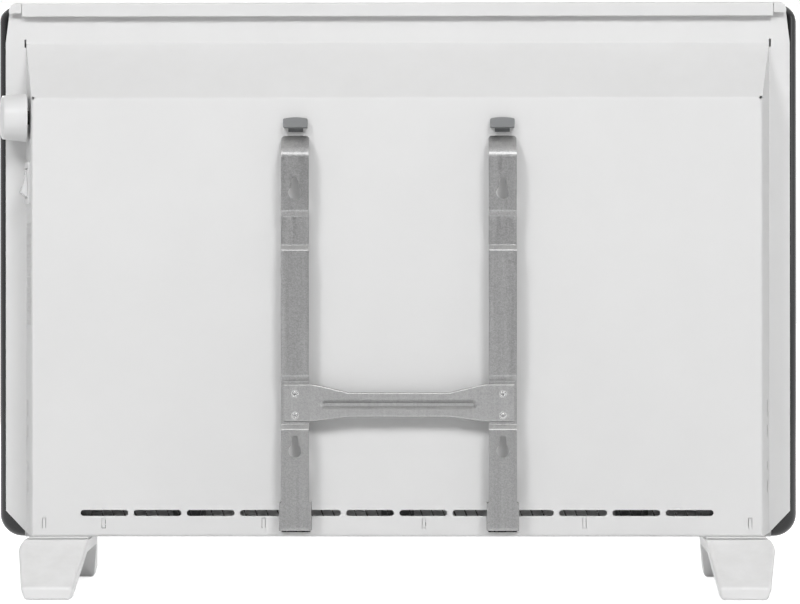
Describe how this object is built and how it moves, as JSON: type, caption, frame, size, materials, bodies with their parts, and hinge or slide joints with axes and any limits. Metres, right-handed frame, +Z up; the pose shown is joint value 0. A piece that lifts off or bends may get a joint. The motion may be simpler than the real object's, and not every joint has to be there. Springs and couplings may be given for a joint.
{
  "type": "panel convector heater",
  "caption": "Panel convector heater on splayed feet, seen from its folded white rear casing, with a slotted wall bracket, sliding latches, a side thermostat knob and a rocker switch.",
  "frame": {"origin": "on the floor, under the middle of the heater's width and of its feet's length", "axes": "+X along the width to the control side, +Y to the wall side with the bracket, +Z up"},
  "size_m": [0.591, 0.2132, 0.4305],
  "materials": {
    "casing_white": "satin white powder coat",
    "front_white": "satin white powder coat",
    "trim_charcoal": "glossy charcoal",
    "grille_charcoal": "matte charcoal",
    "zinc_sheet": "galvanised",
    "duct_sheet": "aluminised sheet",
    "element_metal": "cast, matt",
    "ceramic": "glazed ceramic",
    "latch_grey": "matte grey",
    "foot_white": "satin white",
    "knob_white": "satin white",
    "switch_body": "satin white",
    "switch_key": "satin white",
    "control_dark": "matte black",
    "terminal_white": "matte cream",
    "screw_steel": "zinc plated"
  },
  "bodies": {
    "heater": {"rear_casing": "casing_white", "front_panel": "front_white", "edge_trim_control_side": "trim_charcoal", "edge_trim_far_side": "trim_charcoal", "outlet_grille": "grille_charcoal", "duct_end_far_side": "duct_sheet", "duct_end_control_side": "duct_sheet", "duct_rear_sheet": "duct_sheet", "duct_front_sheet": "duct_sheet", "heating_element": "element_metal", "element_bushings": "ceramic", "intake_guard": "duct_sheet", "panel_links": "zinc_sheet", "link_screws": "screw_steel", "thermostat_body": "control_dark", "switch_housing": "switch_body", "terminal_block": "terminal_white", "thermal_cutout": "element_metal", "cable_inlet": "control_dark", "bracket_strip_control_side": "zinc_sheet", "bracket_strip_far_side": "zinc_sheet", "bracket_crossbar": "zinc_sheet", "bracket_rivets": "screw_steel", "foot_control_side": "foot_white", "foot_far_side": "foot_white", "foot_screws": "screw_steel"},
    "knob": {"thermostat_knob": "knob_white", "thermostat_shaft": "screw_steel"},
    "rocker": {"switch_rocker": "switch_key"},
    "latch_near_controls": {"latch_control_side": "latch_grey"},
    "latch_away_from_controls": {"latch_far_side": "latch_grey"}
  },
  "joints": [
    {"name": "knob_turn", "type": "hinge", "parent": "heater", "child": "knob", "pos_m": [0.26902, 0.024, 0.3451], "axis": [-0.9767, -0.2147, 0], "range_deg": [0, 280]},
    {"name": "rocker_tilt", "type": "hinge", "parent": "heater", "child": "rocker", "pos_m": [0.26706, 0.02357, 0.2972], "axis": [-0.2147, 0.9767, 0], "range_deg": [0, 28]},
    {"name": "latch_near_controls_slide", "type": "slide", "parent": "heater", "child": "latch_near_controls", "axis": [0, 0, 1], "range_m": [0, 0.005]},
    {"name": "latch_away_slide", "type": "slide", "parent": "heater", "child": "latch_away_from_controls", "axis": [0, 0, 1], "range_m": [0, 0.005]}
  ]
}
